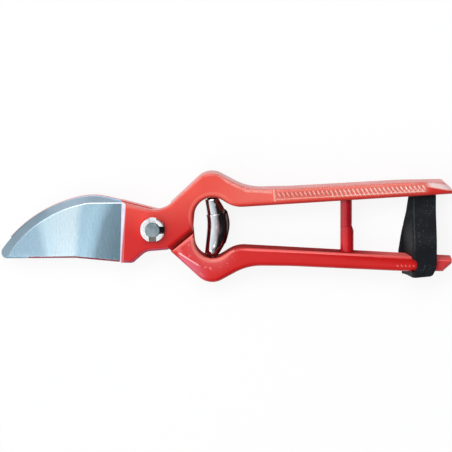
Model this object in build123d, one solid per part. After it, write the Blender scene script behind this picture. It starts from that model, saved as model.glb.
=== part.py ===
from build123d import *
import math
import os

os.makedirs("parts", exist_ok=True)

# Forged pruning shears lying on their back, closed and strapped, in millimetres.
# X runs from the blade's tip to the handles, Y across them, Z up from the table.
# The pivot axis is the Z axis, and the bolt's head rests on the table at Z = 0.

# Heights of the two arms
HEAD_HEIGHT = 2.6
ARM_THICKNESS = 12.0
SHEAR_GAP = 0.1
BACK_Z = HEAD_HEIGHT
FRONT_Z = BACK_Z + ARM_THICKNESS
SHEAR_Z = (BACK_Z + FRONT_Z) / 2
FRONT_LUG_Z = SHEAR_Z + SHEAR_GAP / 2
REAR_LUG_Z = SHEAR_Z - SHEAR_GAP / 2

# Reach of cutting blocks, past every edge of the shears, how far a small cut runs past an edge,
# and how near an edge counts as found
CUTTER_REACH = 300.0
CUT_MARGIN = 3.0
EDGE_TOLERANCE = 0.001

# Corners of the upper arm's outer edge, each rounded, the lower arm mirrors them
WAIST_X = 4.2
WAIST_Y = 7.3
WAIST_RADIUS = 11.7
HUMP_X = 26.2
HUMP_Y = 27.75
HUMP_RADIUS = 9.1
NECK_X = 44.1
NECK_Y = 18.0
NECK_RADIUS = 25.0
GRIP_X = 64.0
GRIP_Y = 18.3
SWELL_X = 115.0
SWELL_Y = 20.9
GRIP_RADIUS = 150.0
TAIL_X = 139.1
TAIL_OUTER_Y = 21.2

# Inner edge of the upper arm: a bend between the grip and the slope of the window, whose side
# leans from the middle line up to the round top
TAIL_INNER_Y = 15.4
BEND_X = 37.9
BEND_Y = 9.5
BEND_RADIUS = 13.0
WINDOW_X = 18.9
WINDOW_RADIUS = 8.5
WINDOW_SLOPE_DEG = 32.5
WINDOW_LEAN_DEG = 5.0

# The lower arm bends further out on the same slope, and its grip is a little thicker
LOWER_BEND_X = 38.8
LOWER_TAIL_INNER_Y = 15.0

# Long edges of the forgings: the upper arm is crisp outside, the lower one inside
FRONT_OUTER_ROUND = 0.8
FRONT_INNER_ROUND = 2.1
REAR_OUTER_ROUND = 2.6
REAR_INNER_ROUND = 1.4

# The tails are cut back at a slant
TAIL_CUT_LENGTH = 4.4
TAIL_CUT_X = TAIL_X - TAIL_CUT_LENGTH
TAIL_CUT_Y = 17.2
TAIL_BEVEL = 1.5

# The slit that parts one arm's shoulder from the other arm's lug
SLIT_ANGLE_DEG = 50.6
SLIT_REACH = 12.4
SLIT_WIDTH = 1.5
SLIT_EDGE_BEVEL = 0.7

# Front lug below the pivot, and the shoulder where the blade's grind ends
LUG_CORNER_Y = 10.2
LUG_CORNER_RADIUS = 2.4
LUG_HOLLOW_X = -3.2
LUG_HOLLOW_Y = -11.0
LUG_HOLLOW_RADIUS = 6.0
HEEL_X = -9.4
HEEL_Y = -16.4
HEEL_RADIUS = 2.4
SHOULDER_TOP_X = -14.4
SHOULDER_FOOT_X = -15.8
SHOULDER_SLOPE_DEG = 30.0

# Blade
CROWN_X = -27.8
CROWN_Y = 14.6
CROWN_RADIUS = 26.0
LONG_RADIUS = 60.0
LONG_JOIN_DEG = 100.6
FALL_DEG = 13.3
SPINE_Y = -14.2
SPINE_BEND_X = -36.0
SPINE_HEEL_Y = -16.2
SPINE_ROUND = 1.1
NOSE_RADIUS = 2.7
BLADE_THICKNESS = 2.8
EDGE_THICKNESS = 0.35
BEVEL_DEG = 33.0
BEVEL_SKIRT = 2.0
GRIND_DROP = 0.6

# Hook behind the blade
HOOK_PROUD = 0.4
HOOK_THICKNESS = 4.4
HOOK_TIP_Y = -4.4
HOOK_TIP_WIDTH = 1.6
HOOK_HOLLOW_X = -36.0
HOOK_HOLLOW_Y = 2.4
HOOK_ROOT_X = -12.5
HOOK_ROOT_Y = -3.6
HOOK_ROUND = 1.2
HOOK_RELIEF = 1.4
REAR_LUG_X = -6.0
REAR_LUG_Y = -10.1
REAR_WAIST_Y = 7.6
REAR_WAIST_RADIUS = 3.0
REAR_CORNER_Y = 9.6

# Pivot bolt, washer and slotted nut
BOLT_DIAMETER = 7.0
BOLT_HEAD_DIAMETER = 15.0
BOLT_HEAD_CHAMFER = 0.7
NECK_WIDTH = 7.6
NECK_HEIGHT = 4.0
RUNNING_CLEARANCE = 0.05
WASHER_DIAMETER = 10.8
WASHER_THICKNESS = 0.8
NUT_DIAMETER = 11.3
NUT_HEIGHT = 3.4
NUT_CHAMFER = 0.5
NUT_SLOT_WIDTH = 3.4
NUT_SLOT_DEPTH = 2.2
BOLT_END_PROUD = 0.2
BOLT_END_CHAMFER = 0.4
BOLT_END_Z = FRONT_Z + WASHER_THICKNESS + NUT_HEIGHT + BOLT_END_PROUD

# Spring of flat strip: widths and heights of its turns from the middle to an end
STRIP_THICKNESS = 0.7
SPRING_LEAN = 2.8
MIDDLE_TURN_RADIUS = 5.1
MIDDLE_STRIP_WIDTH = 10.8
MIDDLE_HALF_RISE = 1.8
SECOND_TURN_RADIUS = 4.1
SECOND_LEAN = 0.93
SECOND_STRIP_WIDTH = 6.3
SECOND_HEIGHT = 7.6
END_TURN_RADIUS = 3.2
THIRD_STRIP_WIDTH = 3.8
THIRD_HEIGHT = 11.4
END_STRIP_WIDTH = 1.4
SPRING_SEAT_GAP = 1.1
GAP_SAMPLES_PER_TURN = 24
SAME_TURN_SHARE = 0.75

# Pegs that hold the spring's ends
PEG_DIAMETER = 3.4
PEG_STANDING = 4.5
PEG_SUNK = 4.0

# Stop posts
UPPER_POST_X = 90.1
UPPER_POST_DIAMETER = 5.5
LOWER_POST_X = 90.5
LOWER_POST_DIAMETER = 6.3
LOWER_POST_SLANT = 2.4
POST_SUNK = 3.0
POST_MEETING_GAP = 0.03
PRESS_CLEARANCE = 0.02

# Strap with a hole for the lower tail, and its pin
STRAP_THICKNESS = 2.0
STRAP_TAIL_INSET = 6.6
STRAP_TOP_WIDTH = 13.6
STRAP_WIDTH = 17.3
STRAP_FRONT_WIDTH = 9.2
STRAP_BACK_WIDTH = 2.7
STRAP_RIGHT_X = TAIL_X - STRAP_TAIL_INSET
STRAP_TOP_LEFT_X = STRAP_RIGHT_X - STRAP_TOP_WIDTH
STRAP_LEFT_X = STRAP_RIGHT_X - STRAP_WIDTH
STRAP_FRONT_START_X = STRAP_RIGHT_X - STRAP_FRONT_WIDTH
STRAP_BACK_Z = 1.0
STRAP_FRONT_Z = 16.1
STRAP_SUNK = 4.0
STRAP_BOTTOM_BELOW = 1.7
STRAP_FLAT_Y = 9.5
STRAP_CROSSED_Y = -9.0
STRAP_STEPS = 6
STRAP_HOLE_CLEARANCE = 0.45
STRAP_SLOT_CLEARANCE = 0.2
PIN_SIDE_INSET = 6.6
PIN_X = STRAP_RIGHT_X - PIN_SIDE_INSET
PIN_INSET = 2.4
PIN_DIAMETER = 2.4
PIN_FROM_BACK = 0.3
PIN_LENGTH = 9.5


def polar(angle_deg, length):
    """Point at a length from the pivot in a direction measured from X."""
    angle = math.radians(angle_deg)
    return Vector(length * math.cos(angle), length * math.sin(angle))


WINDOW_RISE = math.tan(math.radians(WINDOW_SLOPE_DEG))


def bend(side):
    """Place of an arm's inner bend on the window's slope, side 1 for the upper arm."""
    x = BEND_X if side > 0 else LOWER_BEND_X
    return Vector(x, BEND_Y - (x - BEND_X) * WINDOW_RISE)


def inner_tail_y(side):
    """Distance of an arm's inner edge from the middle line at the tail."""
    return TAIL_INNER_Y if side > 0 else LOWER_TAIL_INNER_Y


def inner_edge_y(x, side=1):
    """Distance of a grip's inner edge from the middle line."""
    corner = bend(side)
    slope = (inner_tail_y(side) - corner.Y) / (TAIL_X - corner.X)
    return corner.Y + slope * (x - corner.X)


def outer_tail_y(x):
    """Height of the upper handle's outer edge near the tail."""
    slope = (TAIL_OUTER_Y - SWELL_Y) / (TAIL_X - SWELL_X)
    return SWELL_Y + slope * (x - SWELL_X)


# The window's side and slope meet in a corner, and the round top that touches both seats the spring
WINDOW_LEAN = math.tan(math.radians(WINDOW_LEAN_DEG))
SIDE_OFFSET = WINDOW_RADIUS / math.cos(math.radians(WINDOW_LEAN_DEG))
SLOPE_OFFSET = WINDOW_RADIUS / math.cos(math.radians(WINDOW_SLOPE_DEG))
SLOPE_AT_SIDE_Y = BEND_Y + (BEND_X - WINDOW_X) * WINDOW_RISE
WINDOW_CORNER_Y = SLOPE_AT_SIDE_Y / (1 + WINDOW_RISE * WINDOW_LEAN)
WINDOW_CENTRE_Y = (SLOPE_AT_SIDE_Y - WINDOW_RISE * SIDE_OFFSET - SLOPE_OFFSET) / (
    1 + WINDOW_RISE * WINDOW_LEAN
)
SEAT_X = WINDOW_X + WINDOW_LEAN * WINDOW_CENTRE_Y + SIDE_OFFSET
SEAT_Y = WINDOW_CENTRE_Y + WINDOW_RADIUS

# Blade edge: a crown arc that runs on into a longer arc towards the tip
CROWN_CENTRE = Vector(CROWN_X, CROWN_Y - CROWN_RADIUS)
LONG_CENTRE = CROWN_CENTRE - polar(LONG_JOIN_DEG, LONG_RADIUS - CROWN_RADIUS)


def long_arc_x(radius, y):
    """X of the long arc where it crosses a height."""
    return LONG_CENTRE.X - math.sqrt(radius ** 2 - (y - LONG_CENTRE.Y) ** 2)


def direction_deg(vector):
    """Angle of a flat vector, measured from X."""
    return math.degrees(math.atan2(vector.Y, vector.X))


def crown_edges(proud, end_y, fall_end_x):
    """Edge from the shoulder over the crown towards the tip, and its two ends."""
    crown_radius = CROWN_RADIUS + proud
    long_radius = LONG_RADIUS + proud
    start_deg = 90 - FALL_DEG
    start = CROWN_CENTRE + polar(start_deg, crown_radius)
    fall_y = start.Y - (fall_end_x - start.X) * math.tan(math.radians(FALL_DEG))
    shoulder = Vector(fall_end_x, fall_y)
    tip = Vector(long_arc_x(long_radius, end_y), end_y)
    tip_deg = direction_deg(tip - LONG_CENTRE)
    edges = [
        Line(shoulder, start),
        CenterArc(CROWN_CENTRE, crown_radius, start_deg, LONG_JOIN_DEG - start_deg),
        CenterArc(LONG_CENTRE, long_radius, LONG_JOIN_DEG, tip_deg - LONG_JOIN_DEG),
    ]
    return edges, shoulder, tip


def outline_face(lines):
    """Flat face inside a closed outline."""
    return make_face(Wire([edge for line in lines for edge in line.edges()]))


def raised(face, bottom, top):
    """Solid standing on a flat outline between two heights."""
    return Pos(0, 0, bottom) * extrude(face, top - bottom, dir=(0, 0, 1))


def edges_along(solid, line, height):
    """Edges of a solid that lie over an outline at a height."""
    found = []
    for edge in solid.edges():
        middle = edge @ 0.5
        level = all(abs(vertex.Z - height) < EDGE_TOLERANCE for vertex in edge.vertices())
        if level and line.distance_to(Vector(middle.X, middle.Y)) < EDGE_TOLERANCE:
            found.append(edge)
    return found


def outer_corners(side):
    """Outer edge from the waist to the tail, side 1 for the upper arm."""
    return [
        (WAIST_X, side * WAIST_Y),
        (HUMP_X, side * HUMP_Y),
        (NECK_X, side * NECK_Y),
        (GRIP_X, side * GRIP_Y),
        (SWELL_X, side * SWELL_Y),
        (TAIL_X, side * TAIL_OUTER_Y),
    ]


OUTER_RADII = [WAIST_RADIUS, HUMP_RADIUS, NECK_RADIUS, GRIP_RADIUS, GRIP_RADIUS]


def slit_corners(side, corner_y):
    """Inner edge from the tail round the window to the lug's corner at the slit."""
    normal = polar(SLIT_ANGLE_DEG, 1.0)
    window_end_y = (SLIT_REACH - normal.X * WINDOW_X) / (normal.Y - normal.X * WINDOW_LEAN)
    corner_x = (SLIT_REACH - normal.Y * corner_y) / normal.X
    corner = bend(side)
    return [
        (TAIL_X, side * inner_tail_y(side)),
        (corner.X, side * corner.Y),
        (WINDOW_X + WINDOW_LEAN * WINDOW_CORNER_Y, side * WINDOW_CORNER_Y),
        (WINDOW_X - WINDOW_LEAN * window_end_y, -side * window_end_y),
        (corner_x, -side * corner_y),
    ]


INNER_RADII = [BEND_RADIUS, WINDOW_RADIUS, LUG_CORNER_RADIUS, LUG_CORNER_RADIUS]


def rounded_arm(outer, outer_round, inner, inner_round, closing):
    """Full-thickness forging with its long edges rounded."""
    tail = Line(outer @ 1, inner @ 0)
    solid = raised(outline_face([outer, tail, inner, closing]), BACK_Z, FRONT_Z)
    for line, radius in ((outer, outer_round), (inner, inner_round)):
        for height in (BACK_Z, FRONT_Z):
            solid = fillet(edges_along(solid, line, height), radius)
    return solid


def lug_cut(side):
    """Room for the other arm's lug, bevelled at its rim: in front for the lower arm, else at the back."""
    normal = polar(side * SLIT_ANGLE_DEG, 1.0)
    wall = SLIT_REACH + SLIT_WIDTH
    floor, rim = (FRONT_LUG_Z, BACK_Z) if side > 0 else (REAR_LUG_Z, FRONT_Z)
    away = math.copysign(1.0, rim - floor)
    profile = Polyline(
        (-CUTTER_REACH, floor),
        (wall, floor),
        (wall, rim - away * SLIT_EDGE_BEVEL),
        (wall + SLIT_EDGE_BEVEL, rim),
        (wall + SLIT_EDGE_BEVEL, rim + away * ARM_THICKNESS),
        (-CUTTER_REACH, rim + away * ARM_THICKNESS),
        close=True,
    )
    across = Plane(origin=(0, 0, 0), x_dir=(normal.X, normal.Y, 0), z_dir=(normal.Y, -normal.X, 0))
    return extrude(across * outline_face([profile]), CUTTER_REACH, both=True)


def tail_cut(side):
    """Wedge that slants the tail's outer corner, bevelled in front and at the back."""
    margin = CUT_MARGIN
    outline = Polyline(
        (TAIL_CUT_X, side * outer_tail_y(TAIL_CUT_X)),
        (TAIL_X, side * TAIL_CUT_Y),
        (TAIL_X + margin, side * TAIL_CUT_Y),
        (TAIL_X + margin, side * (TAIL_OUTER_Y + margin)),
        (TAIL_CUT_X, side * (TAIL_OUTER_Y + margin)),
        close=True,
    )
    face = outline_face([outline])
    cut = raised(face, BACK_Z - margin, FRONT_Z + margin)
    for start, way in ((FRONT_Z - TAIL_BEVEL, 1), (BACK_Z + TAIL_BEVEL, -1)):
        bevel = extrude(face, 2 * TAIL_BEVEL, dir=(0, 0, way), taper=-45)
        cut = cut + Pos(0, 0, start) * bevel
    return cut


def upright(diameter, bottom, top, x=0.0, y=0.0):
    """Round bar along Z."""
    bar = Cylinder(diameter / 2, top - bottom, align=(Align.CENTER, Align.CENTER, Align.MIN))
    return Pos(x, y, bottom) * bar


def crossbar(diameter, x, y_from, y_to):
    """Round bar along Y at the arms' middle height."""
    bar = Cylinder(diameter / 2, abs(y_to - y_from))
    return Location((x, (y_from + y_to) / 2, SHEAR_Z), (90, 0, 0)) * bar


def spring_peg(side, extra=0.0):
    """Spring peg or, with extra width, the hole it is pressed into."""
    inner_end = side * (SEAT_Y - PEG_STANDING)
    return crossbar(PEG_DIAMETER + extra, SEAT_X, inner_end, side * (SEAT_Y + PEG_SUNK))


def upper_stop_post(extra=0.0):
    """Stub on the upper handle or, with extra width, the hole it is pressed into."""
    sunk_end = inner_edge_y(UPPER_POST_X) + POST_SUNK
    return crossbar(UPPER_POST_DIAMETER + extra, UPPER_POST_X, POST_MEETING_GAP, sunk_end)


def lower_stop_post(extra=0.0):
    """Stub on the lower handle, slanted beside the meeting end, or its hole."""
    sunk_end = -inner_edge_y(LOWER_POST_X, -1) - POST_SUNK
    post = crossbar(LOWER_POST_DIAMETER + extra, LOWER_POST_X, -POST_MEETING_GAP, sunk_end)
    upper_side = UPPER_POST_X + UPPER_POST_DIAMETER / 2
    lower_side = LOWER_POST_X + LOWER_POST_DIAMETER / 2
    slant = Polyline(
        (upper_side, 0),
        (lower_side, -LOWER_POST_SLANT),
        (lower_side + POST_SUNK, -LOWER_POST_SLANT),
        (lower_side + POST_SUNK, POST_SUNK),
        (upper_side, POST_SUNK),
        close=True,
    )
    return post - raised(outline_face([slant]), BACK_Z, FRONT_Z)


def bevelled_sheath():
    """Room inside the bevel, which runs straight on past the crown, where the edge falls away."""
    bevel_reach = BLADE_THICKNESS / math.tan(math.radians(BEVEL_DEG))
    below = SPINE_HEEL_Y - bevel_reach - BEVEL_SKIRT
    _, _, tip = crown_edges(0.0, below, LUG_HOLLOW_X)
    tip_deg = direction_deg(tip - LONG_CENTRE)
    crown = CROWN_CENTRE + polar(90, CROWN_RADIUS)
    straight_end = Vector(LUG_HOLLOW_X, CROWN_Y)
    outline = [
        Line(straight_end, crown),
        CenterArc(CROWN_CENTRE, CROWN_RADIUS, 90, LONG_JOIN_DEG - 90),
        CenterArc(LONG_CENTRE, LONG_RADIUS, LONG_JOIN_DEG, tip_deg - LONG_JOIN_DEG),
        Polyline(tip, (LUG_HOLLOW_X, below), straight_end),
    ]
    face = outline_face(outline)
    lean = Pos(0, 0, FRONT_LUG_Z + EDGE_THICKNESS) * extrude(
        face, BLADE_THICKNESS, dir=(0, 0, 1), taper=90 - BEVEL_DEG
    )
    return lean + raised(face, FRONT_LUG_Z, FRONT_LUG_Z + EDGE_THICKNESS)


def blade():
    """Wide blade: bevelled cutting edge, ground front, rounded spine and nose."""
    top = FRONT_LUG_Z + BLADE_THICKNESS
    edges, shoulder, tip = crown_edges(0.0, SPINE_Y, SHOULDER_TOP_X)
    foot = (SHOULDER_FOOT_X, SPINE_HEEL_Y)
    spine = Polyline(tip, (SPINE_BEND_X, SPINE_Y), foot)
    root = Polyline(foot, (HEEL_X, LUG_HOLLOW_Y), (LUG_HOLLOW_X, 0), shoulder)
    plan = outline_face(edges + [spine, root])
    solid = raised(plan, FRONT_LUG_Z, top)
    solid = fillet(edges_along(solid, spine, top), SPINE_ROUND)
    solid = solid & bevelled_sheath()
    nose = plan.vertices().sort_by_distance(tip)[0]
    solid = solid & raised(fillet(nose, NOSE_RADIUS), FRONT_LUG_Z, top)
    grind_start_y = SPINE_Y + SPINE_ROUND
    grind_deg = math.degrees(math.atan2(GRIND_DROP, CROWN_Y - grind_start_y))
    stone = Box(CUTTER_REACH, CUTTER_REACH, ARM_THICKNESS, align=(Align.CENTER, Align.MIN, Align.MIN))
    return solid - Location((0, grind_start_y, top), (-grind_deg, 0, 0)) * stone


def shoulder_cut(top_point, foot_point):
    """Slope from the lug's front down to the ground blade."""
    along = (top_point - foot_point).normalized()
    lean = math.radians(SHOULDER_SLOPE_DEG)
    outward = Vector(-along.Y, along.X) * math.cos(lean) + Vector(0, 0, math.sin(lean))
    height = FRONT_LUG_Z + BLADE_THICKNESS - GRIND_DROP
    middle = (top_point + foot_point) * 0.5 + Vector(0, 0, height)
    block = Box(CUTTER_REACH, CUTTER_REACH, ARM_THICKNESS, align=(Align.CENTER, Align.CENTER, Align.MIN))
    slope = Plane(origin=middle, x_dir=along, z_dir=outward)
    return slope * block


def pivot_bore():
    """Running bore for the bolt's shank."""
    return upright(BOLT_DIAMETER + 2 * RUNNING_CLEARANCE, 0, BOLT_END_Z)


def square_neck(extra=0.0):
    """Square of the bolt that keeps it from turning in the rear lug, or its hole."""
    width = NECK_WIDTH + extra
    block = Box(width, width, NECK_HEIGHT, align=(Align.CENTER, Align.CENTER, Align.MIN))
    return Pos(0, 0, BACK_Z) * block


def strap_slot():
    """Slot in the upper handle's inner face that takes the strap's end."""
    left = STRAP_TOP_LEFT_X - STRAP_SLOT_CLEARANCE
    right = STRAP_RIGHT_X + STRAP_SLOT_CLEARANCE
    bottom = STRAP_FLAT_Y
    top = inner_edge_y(PIN_X) + STRAP_SUNK + STRAP_SLOT_CLEARANCE
    width = STRAP_THICKNESS + 2 * STRAP_SLOT_CLEARANCE
    block = Box(right - left, top - bottom, width, align=(Align.MIN, Align.MIN, Align.CENTER))
    return Pos(left, bottom, SHEAR_Z) * block


def strap_pin(extra=0.0):
    """Pin through the strap's end, put in from the back, or its hole."""
    bottom = BACK_Z + PIN_FROM_BACK
    return upright(
        PIN_DIAMETER + extra, bottom, bottom + PIN_LENGTH, PIN_X, inner_edge_y(PIN_X) + PIN_INSET
    )


def front_arm():
    """Upper handle, front lug and blade in one forging."""
    _, shoulder, _ = crown_edges(0.0, SPINE_Y, SHOULDER_TOP_X)
    foot = Vector(SHOULDER_FOOT_X, SPINE_HEEL_Y)
    outer = FilletPolyline(shoulder, *outer_corners(1), radius=OUTER_RADII)
    inner = FilletPolyline(
        *slit_corners(1, LUG_CORNER_Y),
        (LUG_HOLLOW_X, LUG_HOLLOW_Y),
        (HEEL_X, HEEL_Y),
        foot,
        radius=INNER_RADII + [LUG_HOLLOW_RADIUS, HEEL_RADIUS],
    )
    solid = rounded_arm(outer, FRONT_OUTER_ROUND, inner, FRONT_INNER_ROUND, Line(foot, shoulder))
    solid = solid - lug_cut(1) - tail_cut(1) - shoulder_cut(shoulder, foot)
    solid = solid + blade() - pivot_bore()
    solid = solid - spring_peg(1, 2 * PRESS_CLEARANCE)
    solid = solid - upper_stop_post(2 * PRESS_CLEARANCE)
    pin_hole = strap_pin(2 * PRESS_CLEARANCE)
    return solid - strap_slot() - pin_hole - Pos(0, 0, -PIN_FROM_BACK) * pin_hole


def hook():
    """Narrow counter blade behind the wide one, relieved along its hollow edge."""
    bottom = REAR_LUG_Z - HOOK_THICKNESS
    edges, shoulder, tip = crown_edges(HOOK_PROUD, HOOK_TIP_Y, SHOULDER_TOP_X)
    inward = (LONG_CENTRE - tip).normalized()
    tip_end = tip + inward * HOOK_TIP_WIDTH
    root_point = (HOOK_ROOT_X, HOOK_ROOT_Y)
    hollow = ThreePointArc(tip_end, (HOOK_HOLLOW_X, HOOK_HOLLOW_Y), root_point)
    root = Polyline(root_point, (REAR_LUG_X, HOOK_ROOT_Y), (REAR_LUG_X, 0), shoulder)
    solid = raised(outline_face(edges + [Line(tip, tip_end), hollow, root]), bottom, REAR_LUG_Z)
    back = Wire([edge for line in edges for edge in line.edges()])
    solid = fillet(edges_along(solid, back, bottom), HOOK_ROUND)
    return chamfer(edges_along(solid, hollow, bottom), HOOK_RELIEF)


def rear_arm():
    """Lower handle, rear lug and hook in one forging."""
    _, shoulder, _ = crown_edges(HOOK_PROUD, HOOK_TIP_Y, SHOULDER_TOP_X)
    lug_start = (REAR_LUG_X, REAR_LUG_Y)
    outer = FilletPolyline(lug_start, *outer_corners(-1), radius=OUTER_RADII)
    inner = FilletPolyline(
        *slit_corners(-1, REAR_CORNER_Y),
        (WAIST_X, REAR_WAIST_Y),
        shoulder,
        radius=INNER_RADII + [REAR_WAIST_RADIUS],
    )
    closing = Polyline(shoulder, (HOOK_ROOT_X, HOOK_ROOT_Y), lug_start)
    solid = rounded_arm(outer, REAR_OUTER_ROUND, inner, REAR_INNER_ROUND, closing)
    solid = solid - lug_cut(-1) - tail_cut(-1)
    solid = solid + hook() - pivot_bore() - square_neck(2 * RUNNING_CLEARANCE)
    solid = solid - spring_peg(-1, 2 * PRESS_CLEARANCE)
    return solid - lower_stop_post(2 * PRESS_CLEARANCE)


def pivot_bolt():
    """Round flat head at the back, square neck, plain shank up through the nut."""
    head = upright(BOLT_HEAD_DIAMETER, 0, HEAD_HEIGHT)
    head = chamfer(head.edges().group_by(Axis.Z)[0], BOLT_HEAD_CHAMFER)
    shank = upright(BOLT_DIAMETER, HEAD_HEIGHT, BOLT_END_Z)
    shank = chamfer(shank.edges().group_by(Axis.Z)[-1], BOLT_END_CHAMFER)
    return head + square_neck() + shank


def tension_washer():
    """Thin ring under the nut."""
    ring = upright(WASHER_DIAMETER, FRONT_Z, FRONT_Z + WASHER_THICKNESS)
    return ring - pivot_bore()


def pivot_nut():
    """Round nut with four slots in its front face."""
    bottom = FRONT_Z + WASHER_THICKNESS
    top = bottom + NUT_HEIGHT
    nut = upright(NUT_DIAMETER, bottom, top)
    nut = chamfer(nut.edges().group_by(Axis.Z)[-1], NUT_CHAMFER)
    slot = Box(
        NUT_DIAMETER, NUT_SLOT_WIDTH, NUT_SLOT_DEPTH, align=(Align.MIN, Align.CENTER, Align.MAX)
    )
    for quarter in range(4):
        nut = nut - Location((0, 0, top), (0, 0, 90 * quarter)) * slot
    return nut - pivot_bore()


def spring_stations():
    """Left and right ends of the half turns from the bottom up: x, y and strip width."""
    end_height = SEAT_Y - SPRING_SEAT_GAP - END_STRIP_WIDTH / 2
    half = [
        (END_TURN_RADIUS, 0.0, end_height, END_STRIP_WIDTH),
        (END_TURN_RADIUS, 0.0, THIRD_HEIGHT, THIRD_STRIP_WIDTH),
        (SECOND_TURN_RADIUS, SECOND_LEAN, SECOND_HEIGHT, SECOND_STRIP_WIDTH),
        (MIDDLE_TURN_RADIUS, SPRING_LEAN, MIDDLE_HALF_RISE, MIDDLE_STRIP_WIDTH),
    ]
    stations = []
    for side, ring in ((-1, half), (1, half[::-1])):
        for radius, lean, height, width in ring:
            hand = 1 if len(stations) % 2 == 0 else -1
            stations.append((SEAT_X + lean + hand * radius, side * height, width))
    return stations


def half_turn(start, end, share):
    """Point on the half circle between two stations, in front when it runs to the right."""
    angle = math.pi * share
    first = Vector(start[0], start[1], SHEAR_Z)
    last = Vector(end[0], end[1], SHEAR_Z)
    depth = math.copysign((last - first).length / 2, end[0] - start[0])
    across = (1 - math.cos(angle)) / 2
    return first + (last - first) * across + Vector(0, 0, depth * math.sin(angle))


def least_strip_gap(stations):
    """Least clear distance between turns of the strip, measured on points."""
    samples = []
    for turn in range(len(stations) - 1):
        start, end = stations[turn], stations[turn + 1]
        for step in range(GAP_SAMPLES_PER_TURN):
            share = step / GAP_SAMPLES_PER_TURN
            width = start[2] + (end[2] - start[2]) * share
            samples.append((turn + share, half_turn(start, end, share), width))
    gaps = []
    for place, point, width in samples:
        for other_place, other, other_width in samples:
            if other_place - place > SAME_TURN_SHARE:
                flat = max(0.0, math.hypot(point.X - other.X, point.Z - other.Z) - STRIP_THICKNESS)
                upward = max(0.0, abs(point.Y - other.Y) - (width + other_width) / 2)
                gaps.append(math.hypot(flat, upward))
    return min(gaps)


def volute_spring():
    """Flat strip wound in half turns, widest at the middle, leaning towards the grips."""
    stations = spring_stations()
    print("least gap between the spring's turns", round(least_strip_gap(stations), 3))
    path = Wire(
        [
            Edge.make_three_point_arc(
                half_turn(start, end, 0), half_turn(start, end, 0.5), half_turn(start, end, 1)
            )
            for start, end in zip(stations, stations[1:])
        ]
    )
    sections = []
    for x, y, width in stations:
        sections.append(Pos(x, y, SHEAR_Z) * Rectangle(STRIP_THICKNESS, width))
    guide = path.moved(Location((0, 2 * SEAT_Y, 0)))
    return sweep(sections, path, multisection=True, binormal=guide)


def strap_section(y, spread):
    """Corners of the strap cut across at a height, flat for spread 0, round the tail for 1."""
    left = STRAP_TOP_LEFT_X + (STRAP_LEFT_X - STRAP_TOP_LEFT_X) * spread
    back_end = left + STRAP_BACK_WIDTH
    back = SHEAR_Z + (STRAP_BACK_Z - SHEAR_Z) * spread
    front = SHEAR_Z + (STRAP_FRONT_Z - SHEAR_Z) * spread
    half = STRAP_THICKNESS / 2
    lean = math.atan2(front - back, STRAP_FRONT_START_X - back_end)
    shift = half * math.tan(lean / 2)
    front_side = [
        (left, back + half),
        (back_end - shift, back + half),
        (STRAP_FRONT_START_X - shift, front + half),
        (STRAP_RIGHT_X, front + half),
    ]
    back_side = [
        (STRAP_RIGHT_X, front - half),
        (STRAP_FRONT_START_X + shift, front - half),
        (back_end + shift, back - half),
        (left, back - half),
    ]
    return [Vector(x, y, z) for x, z in front_side + back_side]


def faceted_solid(sections):
    """Solid of flat triangles between sections that have the same number of corners."""
    caps = (sections[0], sections[-1][::-1])
    faces = [Face(Wire.make_polygon(corners, close=True)) for corners in caps]
    for first, second in zip(sections, sections[1:]):
        for corner in range(len(first)):
            low_start, low_end = first[corner - 1], first[corner]
            high_start, high_end = second[corner - 1], second[corner]
            for points in ((low_start, high_start, low_end), (low_end, high_start, high_end)):
                faces.append(Face(Wire.make_polygon(points, close=True)))
    return Solid(Shell(faces))


def tail_room():
    """Hole through the strap: the lower handle's tail with clearance all round."""
    clearance = STRAP_HOLE_CLEARANCE
    left = STRAP_LEFT_X - clearance
    right = STRAP_RIGHT_X + clearance
    outline = Polyline(
        (left, clearance - inner_edge_y(left, -1)),
        (right, clearance - inner_edge_y(right, -1)),
        (right, -clearance - outer_tail_y(right)),
        (left, -clearance - outer_tail_y(left)),
        close=True,
    )
    back = BACK_Z - clearance / 2
    front = FRONT_Z + clearance / 2
    return raised(outline_face([outline]), back, front)


def lock_strap():
    """Tab hung in the upper handle with a hole that the lower tail passes through."""
    top = inner_edge_y(PIN_X) + STRAP_SUNK
    bottom = -outer_tail_y(PIN_X) - STRAP_BOTTOM_BELOW
    sections = [strap_section(top, 0.0)]
    for step in range(STRAP_STEPS + 1):
        share = step / STRAP_STEPS
        y = STRAP_FLAT_Y + (STRAP_CROSSED_Y - STRAP_FLAT_Y) * share
        sections.append(strap_section(y, share))
    sections.append(strap_section(bottom, 1.0))
    solid = faceted_solid(sections) - tail_room()
    return solid - strap_pin(2 * RUNNING_CLEARANCE)


NODES = {
    "front_arm": front_arm(),
    "rear_arm": rear_arm(),
    "pivot_bolt": pivot_bolt(),
    "tension_washer": tension_washer(),
    "pivot_nut": pivot_nut(),
    "volute_spring": volute_spring(),
    "upper_spring_peg": spring_peg(1),
    "lower_spring_peg": spring_peg(-1),
    "upper_stop_post": upper_stop_post(),
    "lower_stop_post": lower_stop_post(),
    "lock_strap": lock_strap(),
    "strap_pin": strap_pin(),
}
for name, shape in NODES.items():
    print(name, shape.is_valid, len(shape.solids()), round(shape.volume, 1))
    export_step(shape, f"parts/{name}.step")
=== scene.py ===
import math

import bmesh
import bpy
from mathutils import Matrix, Vector


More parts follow.
